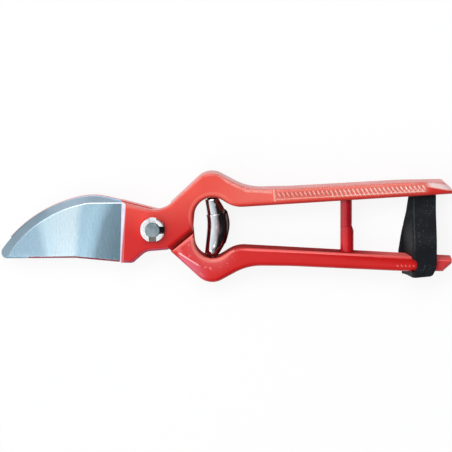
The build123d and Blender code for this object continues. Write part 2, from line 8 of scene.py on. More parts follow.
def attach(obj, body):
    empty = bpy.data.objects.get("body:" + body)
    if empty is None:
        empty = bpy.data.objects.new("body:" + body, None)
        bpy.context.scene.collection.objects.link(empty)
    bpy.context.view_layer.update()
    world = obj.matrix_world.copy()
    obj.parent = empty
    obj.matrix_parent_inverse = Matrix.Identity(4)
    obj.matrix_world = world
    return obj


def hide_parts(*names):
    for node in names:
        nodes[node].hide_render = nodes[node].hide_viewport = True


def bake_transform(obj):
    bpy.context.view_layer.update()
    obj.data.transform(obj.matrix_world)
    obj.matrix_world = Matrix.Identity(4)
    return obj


# Pruning shears lying on a white table, closed and strapped.
# X runs from the blade's tip to the handles, Y across them, Z up, in metres.
# Lengths without MM are in millimetres, apart from those of the camera, the lights and the table.
MM = 0.001

# Camera of the photograph: long lens, leaning a little towards the upper handle
CAMERA_AIM = Vector((0.03407, 0.0002, 0.0086))
CAMERA_LEAN_DEG = 9.0
CAMERA_ROLL_DEG = -0.3
CAMERA_DISTANCE = 1.2
CAMERA_SENSOR_MM = 36.0
FRAME_WIDTH = 0.2109

# Table, and a room that gets darker from the blade's side to the tails' side
FLOOR_HALF = 3.0
ROOM_STRENGTH = 1.65
ROOM_TINT = (0.95, 0.98, 1.0, 1.0)
ROOM_LEVELS = [(0.0, 1.0), (0.12, 0.80), (0.30, 0.60), (0.44, 0.44), (0.54, 0.38), (0.64, 0.03)]

# Lights: name, lean towards -X and +Y in degrees, distance, size and watts
LIGHTS = [
    ("key_panel", (10.0, 31.0), 0.9, (1.0, 0.38), 5.0),
    ("blade_panel", (10.0, -8.0), 0.92, (0.38, 0.36), 0.09),
    ("edge_lamp", (15.0, -25.0), 0.9, (0.05, 0.05), 0.5),
    ("side_window", (48.0, -52.0), 0.9, (0.4, 0.3), 1.0),
]

# Heights of the arms: their middle, the front of their forgings, and the faces that slide on each other
SHEAR_Z = 8.6 * MM
FRONT_Z = 14.6 * MM
LUG_BACK_Z = 8.65 * MM
HOOK_FRONT_Z = 8.55 * MM
# How near to such a height a face counts as on it
ON_FACE = 0.05 * MM

# Nut's slots: their floor, and the spans where their painted shadow starts outwards and ends sideways
NUT_SLOT_FLOOR_Z = 16.6
NUT_SLOT_START = (2.6, 3.4)
NUT_SLOT_SIDE = (1.6, 1.8)

# Slanted line where the blade's grind ends at the lug
SHOULDER_TOP = Vector((-14.4, 12.3)) * MM
SHOULDER_FOOT = Vector((-15.8, -16.2)) * MM
SHOULDER_RUN = 2.4 * MM
SHOULDER_EDGE = 0.2 * MM

# Where the finishes of the arms' edges start and end
SPINE_RIM_START_X = -58.0 * MM
HOOK_END_X = -14.0 * MM
RIM_START_X = 8.0 * MM
LUG_RIM_END_X = 9.0 * MM
WALL_START_X = 12.0 * MM
RIM_END_X = 38.0 * MM
TAIL_RIM_START_X = 128.0 * MM

# Limits for a face's unit normal: its Z on flats, rims and walls, its X or Y on sides
FLAT_Z = 0.9
GROUND_Z = 0.98
RIM_Z = 0.97
WALL_Z = 0.3
RIDGE_Z = 0.5
RIM_Y = 0.1
SPINE_Y = 0.2
HOOK_Y = 0.3
SHOULDER_X = 0.7
HOOK_X = 0.8

# Joining of the CAD pieces' triangles, and the facet between the ground face and the bevel
JOIN_GAP = 0.001 * MM
CUT_GAP = 0.0001 * MM
RIDGE_WIDTH = 0.12 * MM
RIDGE_MERGE_DEG = 0.7

# Bends past which an edge is sharp, and past which a sheet's rim is rounded
ARM_SHARP_DEG = 20.0
SHEET_SHARP_DEG = 40.0
SHEET_RIM_DEG = 50.0
STROKE_SHARP_DEG = 60.0

# Spring strip, wound about a line across the handles: Y with the winding's middle X and outer radius
SPRING_MIDDLES = [(-13.4, 27.4), (-11.9, 28.0), (-8.0, 29.2), (1.3, 30.5), (7.0, 29.7), (13.1, 27.8)]
SPRING_RADII = [(-13.4, 3.3), (-11.9, 3.8), (-8.0, 4.7), (1.3, 5.3), (7.0, 5.1), (13.1, 4.0)]
# Angle round the winding, from the left over the front, with the strip's lower and upper edge in Y
STRIP_LOW_EDGE = [
    (-540, -13.4),
    (-360, -13.4),
    (-180, -13.3),
    (0, -13.0),
    (90, -10.5),
    (180, -6.7),
    (270, 0.5),
    (360, 4.6),
    (540, 6.4),
    (720, 12.2),
]
STRIP_HIGH_EDGE = [
    (-540, -12.4),
    (-360, -9.0),
    (-180, -5.6),
    (-90, -0.4),
    (0, 5.6),
    (90, 6.3),
    (180, 7.0),
    (270, 10.0),
    (360, 12.8),
    (540, 13.4),
    (720, 13.4),
]
STRIP_THICKNESS = 0.4
STRIP_LAYER_STEP = 1.0
STRIP_EDGE_ROUND = 0.1
STRIP_GRID = (210, 14)

# Lock strap: a tab pinned in the upper tail, with a hole that the lower tail goes through
STRAP_TOP_Y = 18.4
STRAP_FLAT_Y = 9.5
STRAP_CROSSED_Y = -9.0
STRAP_BOTTOM_Y = -22.8
STRAP_LEFT_DROP = 1.1
STRAP_LEFT_EDGE = [
    (-23.9, 117.2),
    (-20.5, 115.6),
    (-13.1, 115.05),
    (-11.5, 115.29),
    (13.1, 119.0),
    (18.4, 119.8),
]
STRAP_RIGHT_X = 131.9
STRAP_CORNER = (3.0, 8.5)
STRAP_TWIST_X = 119.3
STRAP_TWIST_HALF = 2.3
STRAP_FOLD_EASE = 1.7
STRAP_STAND = 7.4
STRAP_THICKNESS = 1.8
STRAP_EDGE_ROUND = 0.4
STRAP_HOLE_MIDDLE = (119.8, -17.65)
STRAP_HOLE_HALF = (3.1, 3.45)
STRAP_HOLE_RIM_REACH = 1.4
# Where the painted highlight along the strap's fold starts in Y
STRAP_CREASE_START_Y = (-12.0, -9.0)
STRAP_GRID = (92, 44)

# Spans of Y that part the upper handle from the lower one
UPPER_SIDE_Y = (0.0, 2.0)
LOWER_SIDE_Y = (0.0, -2.0)
STROKE_SIDE_Y = (-2.0, 2.0)

# Spans where the enamel's tones change: painted light on the arms, darker towards the upper handle on
# the stop posts, painted highlight on the strokes, painted shade in the groove between them
ARM_LIGHT_Y = (-5.0, 17.0)
POST_FADE_Y = (-9.0, 6.0)
STROKE_FADE_X = (66.0, 106.0)
GROOVE_FADE_X = (70.0, 100.0)

# Spans of the blade's tones from tip to heel; on the ground face these tones are painted reflection
GROUND_REFLECTION_X = (-72.0, -12.0)
HONED_TONES_X = (-62.0, -26.0)
RIDGE_TONES_X = (-52.0, -22.0)

# Spans where the spring's strip gets painted shade, where its reflections are dimmed as painted shade,
# and where it is painted black as shade
SHADE_START_X = (28.4, 30.4)
REFLECTION_DIM_X = (30.4, 32.6)
DARKEST_SHADE_X = (32.6, 33.8)

# Painted highlight band across the upper tail
TAIL_BAND = ((129.7, 19.8), (137.7, 18.4))
TAIL_START_X = 126.0

# Line along the upper arm, beyond which its front is painted pale as sheen
EDGE_SHEEN_LINE = [
    (-13.0, 10.6),
    (-4.2, 9.1),
    (2.0, 8.8),
    (7.0, 11.0),
    (12.0, 14.8),
    (23.5, 24.9),
    (30.5, 25.2),
    (35.0, 21.7),
    (43.5, 17.5),
    (55.5, 16.8),
]
# X past which the sheen line's segments also get a painted highlight streak
FLANK_START_X = 30.0

# Upper handle's edge towards the grip gap, and where its painted shade and the neck's painted sheen
# start
INNER_EDGE = ((37.9, 9.5), (126.0, 14.64))
INNER_EDGE_START_X = (34.0, 43.0)
NECK_START_X = (26.0, 46.0)

# Painted highlight line along the lower grip's edge, where it starts, and where the wall above it gets a
# painted pale reflection
GRIP_EDGE = ((56.9, -10.7), (112.9, -13.4))
GRIP_EDGE_START_X = (38.0, 46.0)
WALL_REFLECTION_X = (92.0, 114.0)

# Windows round the spring, and the spans where the painted sheen, highlights and shade round them start
# and end
UPPER_WINDOW_MIDDLE = (27.94, 5.77)
LOWER_WINDOW_MIDDLE = (27.94, -5.77)
WINDOW_RADIUS = 8.5
UPPER_WINDOW_Y = (-2.0, 0.0)
UPPER_WINDOW_END_X = (33.0, 38.0)
LOWER_WINDOW_Y = (-3.5, -5.5)
LOWER_WINDOW_END_X = (32.0, 42.0)

# Crease where the lower hump's front breaks towards its outer edge
HUMP_CREASE = ((11.5, -11.1), (21.7, -17.7))
CREASE_HALF_WIDTH = 0.28

# Rows of raised strokes on the grips: start and end in X and Y, pitch, stroke size, turn in degrees
STROKE_PITCH = 2.0
STROKE_LEAN_DEG = 125.0
PANEL_START_X = 56.8
PANEL_ROW = ((59.0, 15.5), (126.0, 18.7))
PANEL_EDGE = ((57.5, 13.3), (126.0, 17.0))
UPPER_ROWS = [
    (*PANEL_ROW, STROKE_PITCH, (3.0, 1.0, 0.8), STROKE_LEAN_DEG),
    ((84.0, 15.0), (125.5, 17.3), STROKE_PITCH, (2.2, 0.9, 0.7), STROKE_LEAN_DEG),
    (*PANEL_EDGE, 0.9, (1.8, 0.6, 0.5), 3.0),
    ((57.0, 13.2), (56.5, 17.4), 0.8, (1.8, 1.3, 0.6), 97.0),
]
LOWER_ROWS = [((114.0, -18.1), (121.5, -18.3), 1.8, (1.5, 0.9, 0.5), STROKE_LEAN_DEG)]
GRIP_TOP_Z = 20.0
BEAD_SEGMENTS = 10
BEAD_RINGS = 6

# Grain of every noise and its plain stretch, turn of the blade's grind lines, and an untinted colour
NOISE_ROUGHNESS = 0.55
UNSTRETCHED = (1.0, 1.0, 1.0)
GRIND_TURN_DEG = -20.0
WHITE = (1.0, 1.0, 1.0, 1.0)

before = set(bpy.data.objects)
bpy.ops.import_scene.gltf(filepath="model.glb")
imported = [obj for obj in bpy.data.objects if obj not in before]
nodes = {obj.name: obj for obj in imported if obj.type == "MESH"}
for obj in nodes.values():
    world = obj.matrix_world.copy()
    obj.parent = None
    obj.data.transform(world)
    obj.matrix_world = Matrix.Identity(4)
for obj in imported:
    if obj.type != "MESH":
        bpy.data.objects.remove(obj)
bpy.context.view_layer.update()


# Helpers for node trees
def feed(tree, made, sources):
    """Links a node's inputs to other sockets, or sets plain values on them."""
    for name, source in sources.items():
        if isinstance(source, bpy.types.NodeSocket):
            tree.links.new(source, made.inputs[name])
        else:
            made.inputs[name].default_value = source


def node(tree, kind, sources=None, **settings):
    """New node with its settings, and with what its inputs are fed."""
    made = tree.nodes.new(kind)
    for name, value in settings.items():
        setattr(made, name, value)
    feed(tree, made, sources or {})
    return made


def calculate(tree, operation, first, second=0.0):
    return node(tree, "ShaderNodeMath", {0: first, 1: second}, operation=operation).outputs[0]


def plus(tree, first, second):
    return calculate(tree, "ADD", first, second)


def minus(tree, first, second):
    return calculate(tree, "SUBTRACT", first, second)


def unsigned(tree, value):
    return calculate(tree, "ABSOLUTE", value)


def product(tree, first, *others):
    """All the given shares multiplied."""
    for other in others:
        first = calculate(tree, "MULTIPLY", first, other)
    return first


def object_place(tree, stretch=UNSTRETCHED, turn_deg=0.0):
    """Object coordinates, stretched and turned about Z."""
    place = node(tree, "ShaderNodeTexCoord").outputs["Object"]
    turn = (0.0, 0.0, math.radians(turn_deg))
    mapping = node(tree, "ShaderNodeMapping", {"Vector": place, "Scale": stretch, "Rotation": turn})
    return mapping.outputs["Vector"]


def axes_of(tree):
    """X, Y and Z of the object coordinates in millimetres."""
    place = object_place(tree, (1.0 / MM, 1.0 / MM, 1.0 / MM))
    return node(tree, "ShaderNodeSeparateXYZ", {0: place}).outputs


def noise(tree, scale, detail, stretch=UNSTRETCHED, turn_deg=0.0):
    """Clouds in object coordinates, stretched and turned about Z."""
    place = object_place(tree, stretch, turn_deg)
    sources = {"Vector": place, "Scale": scale, "Detail": detail, "Roughness": NOISE_ROUGHNESS}
    return node(tree, "ShaderNodeTexNoise", sources).outputs[0]


def spread(tree, value, low, high, out_low, out_high):
    """Smooth step of a value from one range to another."""
    sources = {"Value": value, "From Min": low, "From Max": high, "To Min": out_low, "To Max": out_high}
    return node(tree, "ShaderNodeMapRange", sources, interpolation_type="SMOOTHSTEP").outputs[0]


def rise(tree, value, low, high, top=1.0):
    """Smooth step from 0 to a top share."""
    return spread(tree, value, low, high, 0.0, top)


def fall(tree, value, low, high, top=1.0):
    """Smooth step from a top share to 0."""
    return spread(tree, value, low, high, top, 0.0)


def blend_colours(tree, share, first, second):
    return node(tree, "ShaderNodeMix", {0: share, 6: first, 7: second}, data_type="RGBA").outputs[2]


def paint(tree, share, under, tint):
    """Lays a plain red, green and blue over another colour."""
    return blend_colours(tree, share, under, (*tint, 1.0))


def tones(tree, value, stops):
    """Colour ramp with a list of places and colours."""
    made = node(tree, "ShaderNodeValToRGB", {0: value})
    elements = made.color_ramp.elements
    while len(elements) < len(stops):
        elements.new(0.5)
    for element, (place, colour) in zip(elements, stops):
        element.position = place
        element.color = (*colour, 1.0)
    return made.outputs[0]


def mottle(tree, pattern, dark, light):
    """Two tones of one colour, by a pattern."""
    return tones(tree, pattern, [(0.3, dark), (0.7, light)])


def relief(tree, height, depth, strength=0.5, under=None):
    """Bump from a height, over another bump where there is one."""
    sources = {"Height": height, "Distance": depth, "Strength": strength}
    if under is not None:
        sources["Normal"] = under
    return node(tree, "ShaderNodeBump", sources).outputs[0]


def new_material(name):
    made = bpy.data.materials.new(name)
    made.use_nodes = True
    return made, made.node_tree, made.node_tree.nodes["Principled BSDF"]


def coat(tree, shader, colour, roughness, bump):
    """Main looks of a shader."""
    feed(tree, shader, {"Base Color": colour, "Roughness": roughness, "Normal": bump})


def metal_coat(tree, shader, colour, roughness, bump):
    coat(tree, shader, colour, roughness, bump)
    feed(tree, shader, {"Metallic": 1.0})


def above_line(tree, x, y, line):
    """How far Y lies above a line through two points of X and Y."""
    (start_x, start_y), (end_x, end_y) = line
    slope = (end_y - start_y) / (end_x - start_x)
    climb = product(tree, minus(tree, x, start_x), slope)
    return minus(tree, y, plus(tree, climb, start_y))


def from_window(tree, x, y, middle):
    """How far X and Y lie outside a window round the spring."""
    squares = []
    for value, origin in zip((x, y), middle):
        off = minus(tree, value, origin)
        squares.append(product(tree, off, off))
    return minus(tree, calculate(tree, "SQRT", plus(tree, *squares)), WINDOW_RADIUS)


# Enamel
def orange_peel(tree):
    return relief(tree, noise(tree, 420.0, 2.0), 0.02 * MM)


def enamel_coat(tree, shader, colour, shine=0.2):
    """Gloss of the enamel: faint orange peel, shallow dents and dull specks."""
    speck = noise(tree, 900.0, 2.0)
    pit = rise(tree, speck, 0.72, 0.8, 0.5)
    dents = relief(tree, noise(tree, 45.0, 3.0), 0.18 * MM, under=orange_peel(tree))
    pitted = paint(tree, pit, colour, (0.36, 0.012, 0.01))
    coat(tree, shader, pitted, spread(tree, speck, 0.2, 0.8, 0.15, 0.24), dents)
    feed(tree, shader, {"Specular IOR Level": shine, "Coat Weight": 0.25, "Coat Roughness": 0.06})


def hump_crease(tree, x, y, front, colour):
    """Painted highlight along a crease on the lower hump, broken up by noise, with a painted mauve sheen
    between it and the outer edge.
    """
    (start_x, _), (end_x, _) = HUMP_CREASE
    above = above_line(tree, x, y, HUMP_CREASE)
    begun = product(tree, front, rise(tree, x, start_x - 0.5, start_x + 1.5))
    highlight_mask = noise(tree, 500.0, 3.0)
    sheen = product(
        tree,
        begun,
        fall(tree, above, -1.2, 0.2, 0.45),
        fall(tree, x, end_x - 4.0, end_x + 6.0),
    )
    # Painted mauve sheen between the crease and the outer edge
    colour = paint(tree, sheen, colour, (0.74, 0.20, 0.30))
    # Painted highlight along the crease
    line = product(
        tree,
        begun,
        fall(tree, x, end_x - 1.5, end_x + 1.0),
        fall(tree, unsigned(tree, above), CREASE_HALF_WIDTH, CREASE_HALF_WIDTH * 2.0),
        spread(tree, highlight_mask, 0.3, 0.5, 0.2, 1.0),
    )
    return paint(tree, line, colour, (0.94, 0.44, 0.45))


def window_rim(tree, x, y, front, cloud, colour):
    """Painted sheen round the lower window with a painted highlight at its rim, and pale spots further
    out.
    """
    out = from_window(tree, x, y, LOWER_WINDOW_MIDDLE)
    lower = product(tree, front, rise(tree, y, *LOWER_WINDOW_Y), fall(tree, x, *LOWER_WINDOW_END_X))
    sheen = product(
        tree,
        lower,
        fall(tree, out, 0.0, WINDOW_RADIUS, 0.55),
        spread(tree, cloud, 0.35, 0.6, 0.4, 1.0),
    )
    colour = paint(tree, sheen, colour, (0.78, 0.13, 0.14))
    spots = product(
        tree,
        lower,
        rise(tree, out, 2.0, 3.0),
        fall(tree, out, 4.5, 6.5),
        rise(tree, noise(tree, 620.0, 2.0), 0.58, 0.68, 0.6),
    )
    colour = paint(tree, spots, colour, (0.94, 0.40, 0.40))
    # Painted highlight along the window's rim
    rim = product(tree, lower, fall(tree, out, 0.9, 2.4, 0.8))
    return paint(tree, rim, colour, (0.88, 0.25, 0.21))


def upper_window_rim(tree, x, y, front, colour):
    """Painted shade on the upper window's edge, with a painted highlight line round it."""
    out = from_window(tree, x, y, UPPER_WINDOW_MIDDLE)
    upper = product(tree, front, rise(tree, y, *UPPER_WINDOW_Y), fall(tree, x, *UPPER_WINDOW_END_X))
    from_ring = unsigned(tree, minus(tree, out, 2.2))
    # Painted highlight ring just outside the window's edge
    ring = product(tree, upper, fall(tree, from_ring, 0.4, 1.0, 0.4))
    colour = paint(tree, ring, colour, (0.90, 0.20, 0.16))
    # Painted shade on the window's edge
    edge = product(tree, upper, fall(tree, out, 0.6, 1.3, 0.5))
    return paint(tree, edge, colour, (0.22, 0.012, 0.014))


def outer_edge_sheen(tree, x, y, front, cloud, colour):
    """Painted pale sheen along the upper arm's outer edge, with a painted highlight streak down the
    hump's flank.
    """
    patchy = product(tree, front, spread(tree, cloud, 0.3, 0.6, 0.75, 1.0))
    streaky = noise(tree, 400.0, 3.0)
    for start, end in zip(EDGE_SHEEN_LINE, EDGE_SHEEN_LINE[1:]):
        lean = math.cos(math.atan2(end[1] - start[1], end[0] - start[0]))
        above = product(tree, above_line(tree, x, y, (start, end)), lean)
        within = product(
            tree,
            patchy,
            rise(tree, x, start[0] - 0.5, start[0] + 0.5),
            fall(tree, x, end[0] - 0.5, end[0] + 0.5),
        )
        pale_sheen = product(tree, within, rise(tree, above, -1.1, 0.5, 0.5))
        colour = paint(tree, pale_sheen, colour, (0.90, 0.30, 0.26))
        if start[0] > FLANK_START_X:
            line = fall(tree, unsigned(tree, above), 0.25, 0.75, 0.5)
            # Painted highlight streak down the hump's flank
            streak = product(tree, within, line, spread(tree, streaky, 0.35, 0.6, 0.3, 1.0))
            colour = paint(tree, streak, colour, (0.98, 0.50, 0.44))
    return colour


def grip_sheen_and_shade(tree, x, y, front, cloud, colour):
    """Painted sheen on the upper handle from the hump to the grip's end, with painted shade along its
    inner edge and between the strokes.
    """
    neck = rise(tree, x, *NECK_START_X, 0.35)
    panel = rise(tree, x, PANEL_START_X - 0.3, PANEL_START_X + 0.3, 0.45)
    grip_sheen = product(
        tree,
        front,
        plus(tree, neck, panel),
        rise(tree, above_line(tree, x, y, PANEL_EDGE), -0.9, 0.3),
        fall(tree, x, TAIL_START_X, TAIL_START_X + 3.0),
        spread(tree, cloud, 0.25, 0.75, 0.7, 1.0),
    )
    colour = paint(tree, grip_sheen, colour, (0.82, 0.23, 0.18))
    # Painted shade along the upper handle's inner edge
    edge = product(
        tree,
        front,
        fall(tree, above_line(tree, x, y, INNER_EDGE), 1.0, 2.0, 0.55),
        rise(tree, x, *INNER_EDGE_START_X),
        rise(tree, y, *UPPER_SIDE_Y),
    )
    colour = paint(tree, edge, colour, (0.44, 0.016, 0.016))
    # Painted shade in the groove between the strokes
    from_row = unsigned(tree, above_line(tree, x, y, PANEL_ROW))
    groove_shade = product(
        tree,
        front,
        fall(tree, from_row, 1.0, 1.6, 0.5),
        spread(tree, x, *GROOVE_FADE_X, 1.0, 0.3),
        rise(tree, x, PANEL_START_X + 0.4, PANEL_START_X + 1.4),
        fall(tree, x, TAIL_START_X, TAIL_START_X + 1.5),
    )
    return paint(tree, groove_shade, colour, (0.46, 0.07, 0.05))


def grip_edge(tree, x, y, front, colour):
    """Painted highlight line along the lower grip's edge towards the grip gap."""
    off = unsigned(tree, above_line(tree, x, y, GRIP_EDGE))
    line = product(
        tree,
        front,
        fall(tree, off, 0.3, 0.8, 0.9),
        rise(tree, x, *GRIP_EDGE_START_X),
        fall(tree, x, TAIL_START_X - 4.0, TAIL_START_X),
    )
    return paint(tree, line, colour, (0.98, 0.15, 0.14))


def tail_highlights(tree, x, y, front, colour):
    """Tail ends: a painted highlight band on the upper one, with paler painted sheen above it and deep
    red below, and brighter red as painted light on the lower one.
    """
    above = above_line(tree, x, y, TAIL_BAND)
    begun = product(tree, front, rise(tree, x, TAIL_START_X, TAIL_START_X + 4.0))
    upper = product(tree, begun, rise(tree, y, *UPPER_SIDE_Y))
    pink = product(tree, upper, rise(tree, above, -0.6, 0.4))
    colour = paint(tree, pink, colour, (0.95, 0.42, 0.39))
    red = product(tree, upper, fall(tree, above, -1.8, -0.9, 0.7))
    colour = paint(tree, red, colour, (0.66, 0.022, 0.022))
    # Painted highlight band across the upper tail
    band = product(tree, upper, fall(tree, unsigned(tree, above), 0.7, 1.5, 0.97))
    colour = paint(tree, band, colour, (0.98, 0.74, 0.72))
    lower = product(tree, begun, rise(tree, y, *LOWER_SIDE_Y, 0.6))
    return paint(tree, lower, colour, (0.95, 0.10, 0.11))


def red_enamel():
    """Red enamel of the arms, lighter towards the upper handle as painted light, with painted
    highlights, sheen and shade laid over it.
    """
    made, tree, shader = new_material("red_enamel")
    x, y, z = axes_of(tree)
    front = rise(tree, z, FRONT_Z / MM - 3.0, FRONT_Z / MM - 0.6)
    cloud = noise(tree, 60.0, 4.0)
    # Deep red towards the lower handle, lighter red towards the upper one: painted shade and light
    deep = mottle(tree, cloud, (0.60, 0.012, 0.012), (0.67, 0.016, 0.015))
    lit_red = mottle(tree, cloud, (0.79, 0.076, 0.054), (0.85, 0.094, 0.070))
    colour = blend_colours(tree, rise(tree, y, *ARM_LIGHT_Y), deep, lit_red)
    colour = window_rim(tree, x, y, front, cloud, colour)
    colour = upper_window_rim(tree, x, y, front, colour)
    colour = grip_sheen_and_shade(tree, x, y, front, cloud, colour)
    colour = outer_edge_sheen(tree, x, y, front, cloud, colour)
    colour = grip_edge(tree, x, y, front, colour)
    colour = tail_highlights(tree, x, y, front, colour)
    colour = hump_crease(tree, x, y, front, colour)
    enamel_coat(tree, shader, colour)
    return made


def rim_enamel():
    """Dark red enamel on the blade's back edge, darkened as painted shade."""
    made, tree, shader = new_material("rim_enamel")
    cloud = noise(tree, 80.0, 4.0)
    enamel_coat(tree, shader, mottle(tree, cloud, (0.22, 0.016, 0.026), (0.30, 0.022, 0.034)))
    return made


def post_enamel():
    """Enamel of the stop posts: a darker copy of the arms' red as painted shade, darker still towards
    the upper handle.
    """
    made, tree, shader = new_material("post_enamel")
    _, y, _ = axes_of(tree)
    cloud = noise(tree, 80.0, 4.0)
    low = mottle(tree, cloud, (0.52, 0.008, 0.012), (0.60, 0.011, 0.016))
    high = mottle(tree, cloud, (0.36, 0.006, 0.014), (0.44, 0.009, 0.018))
    enamel_coat(tree, shader, blend_colours(tree, rise(tree, y, *POST_FADE_Y), low, high), shine=0.3)
    return made


def edge_enamel(name, dark, light, roughness, shine, reflection_x=None):
    """Enamel in another tone of the red along the edges and walls of the arms, standing in for how light
    falls there as painted light and shade, and paler over a given span of X as painted reflection.
    """
    made, tree, shader = new_material(name)
    cloud = noise(tree, 160.0, 4.0)
    colour = mottle(tree, cloud, dark, light)
    # Paler as painted reflection over the given span
    if reflection_x is not None:
        x, _, _ = axes_of(tree)
        colour = paint(tree, rise(tree, x, *reflection_x), colour, (1.0, 0.17, 0.16))
    patchy = spread(tree, cloud, 0.2, 0.8, roughness, roughness + 0.1)
    coat(tree, shader, colour, patchy, orange_peel(tree))
    feed(tree, shader, {"Specular IOR Level": shine})
    return made


def stroke_highlight_enamel():
    """Enamel of the raised strokes, painted pale as highlight: palest towards the upper tail, duller on
    the lower grip.
    """
    made, tree, shader = new_material("stroke_highlight_enamel")
    x, y, _ = axes_of(tree)
    cloud = noise(tree, 300.0, 3.0)
    pale = mottle(tree, cloud, (0.84, 0.29, 0.24), (0.92, 0.38, 0.32))
    pale = paint(tree, rise(tree, x, *STROKE_FADE_X, 0.45), pale, (0.98, 0.66, 0.60))
    dull = mottle(tree, cloud, (0.70, 0.07, 0.06), (0.78, 0.11, 0.10))
    enamel_coat(tree, shader, blend_colours(tree, rise(tree, y, *STROKE_SIDE_Y), dull, pale))
    return made


def shoulder_lacquer():
    """Pale lavender band where the grind meets the lug, narrower towards its foot."""
    made, tree, shader = new_material("shoulder_lacquer")
    x, y, _ = axes_of(tree)
    cloud = noise(tree, 400.0, 3.0)
    pale = mottle(tree, cloud, (0.74, 0.66, 0.78), (0.84, 0.78, 0.88))
    top, foot = SHOULDER_TOP / MM, SHOULDER_FOOT / MM
    lean = (top.x - foot.x) / (top.y - foot.y)
    line_x = plus(tree, product(tree, y, lean), foot.x - lean * foot.y)
    from_line = minus(tree, x, line_x)
    width = spread(tree, y, foot.y, top.y, 0.9, 2.0)
    past = rise(tree, minus(tree, from_line, width), -0.4, 0.3)
    colour = paint(tree, past, pale, (0.66, 0.10, 0.10))
    roughness = spread(tree, cloud, 0.25, 0.75, 0.3, 0.5)
    coat(tree, shader, colour, roughness, relief(tree, cloud, 0.03 * MM))
    return made


# Steel
def ground_steel():
    """Blade's ground face: soft bands of painted reflection, fine grind lines across, polishing clouds.
    """
    made, tree, shader = new_material("ground_steel")
    x, y, _ = axes_of(tree)
    lines = noise(tree, 1500.0, 3.0, (1.0, 0.06, 1.0), GRIND_TURN_DEG)
    clouds = noise(tree, 90.0, 4.0, (1.0, 0.35, 1.0), GRIND_TURN_DEG)
    lean = plus(tree, product(tree, x, 0.017), 0.735)
    along = minus(tree, x, product(tree, y, lean))
    wander = product(tree, minus(tree, clouds, 0.5), 6.0)
    start, end = GROUND_REFLECTION_X
    limits = {"Value": plus(tree, along, wander), "From Min": start, "From Max": end}
    band = node(tree, "ShaderNodeMapRange", limits)
    # Light and dark bands of painted reflection, from tip to heel
    reflection_bands = [
        (-70.0, (0.33, 0.48, 0.59)),
        (-54.0, (0.37, 0.53, 0.65)),
        (-50.0, (0.58, 0.77, 0.87)),
        (-45.0, (0.66, 0.81, 0.89)),
        (-36.5, (0.68, 0.83, 0.91)),
        (-33.0, (0.42, 0.61, 0.74)),
        (-29.0, (0.44, 0.64, 0.76)),
        (-25.5, (0.36, 0.54, 0.66)),
        (-22.5, (0.22, 0.325, 0.40)),
        (-14.0, (0.165, 0.25, 0.31)),
    ]
    stops = [((place - start) / (end - start), colour) for place, colour in reflection_bands]
    waves = relief(tree, clouds, 0.08 * MM, 0.4, under=relief(tree, lines, 0.006 * MM))
    tint = tones(tree, band.outputs[0], stops)
    metal_coat(tree, shader, tint, spread(tree, lines, 0.2, 0.8, 0.25, 0.32), waves)
    return made


def along_blade(tree, clouds, span_x, shades):
    """Tones from the blade's tip to its heel, with cloudy borders."""
    x, _, _ = axes_of(tree)
    place = plus(tree, x, product(tree, clouds, 8.0))
    return tones(tree, rise(tree, place, *span_x), shades)


def honed_steel():
    """Bare steel with hone marks, darker towards the tip: the cutting bevel and the shear faces."""
    made, tree, shader = new_material("honed_steel")
    lines = noise(tree, 1800.0, 2.0, (1.0, 0.08, 0.3))
    clouds = noise(tree, 120.0, 3.0)
    shades = [
        (0.0, (0.21, 0.28, 0.33)),
        (0.4, (0.31, 0.41, 0.49)),
        (0.65, (0.46, 0.58, 0.68)),
        (1.0, (0.60, 0.75, 0.90)),
    ]
    tint = along_blade(tree, clouds, HONED_TONES_X, shades)
    roughness = spread(tree, lines, 0.2, 0.8, 0.17, 0.22)
    metal_coat(tree, shader, tint, roughness, relief(tree, lines, 0.003 * MM))
    return made


def ridge_steel():
    """Bright honed ridge above the cutting bevel, duller towards the tip."""
    made, tree, shader = new_material("ridge_steel")
    clouds = noise(tree, 120.0, 3.0)
    shades = [
        (0.0, (0.22, 0.29, 0.34)),
        (0.5, (0.33, 0.41, 0.46)),
        (1.0, (0.55, 0.57, 0.59)),
    ]
    tint = along_blade(tree, clouds, RIDGE_TONES_X, shades)
    roughness = spread(tree, clouds, 0.2, 0.8, 0.22, 0.28)
    metal_coat(tree, shader, tint, roughness, relief(tree, clouds, 0.01 * MM))
    return made


def bright_steel():
    """Polished spring strip with clear reflections and faint draw lines; towards the grips its colour
    and reflections are darkened as painted shade, with streaks of painted red reflection.
    """
    made, tree, shader = new_material("bright_steel")
    lines = noise(tree, 1600.0, 2.0, (0.2, 1.0, 0.2))
    clouds = noise(tree, 150.0, 3.0)
    shade_streaks = noise(tree, 700.0, 3.0, (1.0, 0.25, 1.0))
    x, _, _ = axes_of(tree)
    unshaded_steel = mottle(tree, clouds, (0.50, 0.52, 0.54), (0.60, 0.62, 0.64))
    # Streaks of painted shade, with pale streaks of painted red reflection
    shades = [
        (0.35, (0.10, 0.07, 0.075)),
        (0.6, (0.34, 0.24, 0.25)),
        (0.72, (0.9, 0.62, 0.62)),
    ]
    shaded_steel = blend_colours(tree, rise(tree, x, *SHADE_START_X, 0.93), unshaded_steel, tones(tree, shade_streaks, shades))
    shaded_steel = paint(tree, rise(tree, x, *DARKEST_SHADE_X, 0.7), shaded_steel, (0.05, 0.04, 0.04))
    roughness = spread(tree, lines, 0.25, 0.75, 0.08, 0.14)
    metal_coat(tree, shader, shaded_steel, roughness, relief(tree, lines, 0.008 * MM))
    # Reflections dimmed as painted shade towards the grips
    dimmed_reflection = paint(tree, rise(tree, x, *REFLECTION_DIM_X), WHITE, (0.14, 0.09, 0.09))
    feed(tree, shader, {"Specular Tint": dimmed_reflection})
    return made


